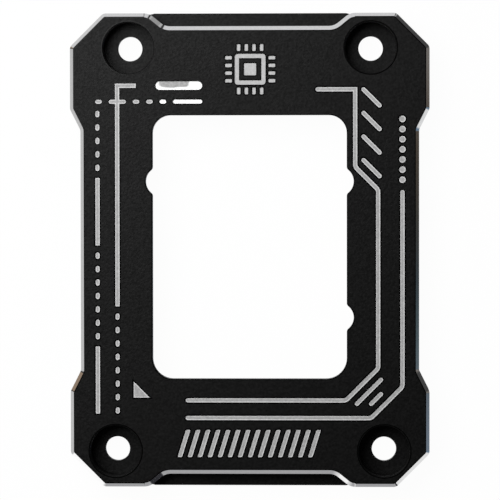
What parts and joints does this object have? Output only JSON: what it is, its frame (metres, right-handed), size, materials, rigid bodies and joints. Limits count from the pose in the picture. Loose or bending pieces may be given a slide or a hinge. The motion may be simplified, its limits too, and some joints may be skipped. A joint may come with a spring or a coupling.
{
  "type": "cpu mounting bracket",
  "caption": "Flat milled frame that clamps a processor in its socket: chamfered corner pads with counterbored screw holes, waisted sides, stepped ends, a notched window and engraved lines.",
  "frame": {"origin": "middle of the underside, which lies on the mainboard", "axes": "+X to the right and +Y along the frame towards the end with the closer pair of screw holes, seen from above; +Z away from the mainboard"},
  "size_m": [0.054, 0.0716, 0.006],
  "materials": {
    "black_anodised_aluminium": "fine sand-blasted and anodised black, with bright-cut upper edges and bright engraved marks"
  },
  "bodies": {
    "root": {"contact_frame": "black_anodised_aluminium"}
  },
  "joints": []
}
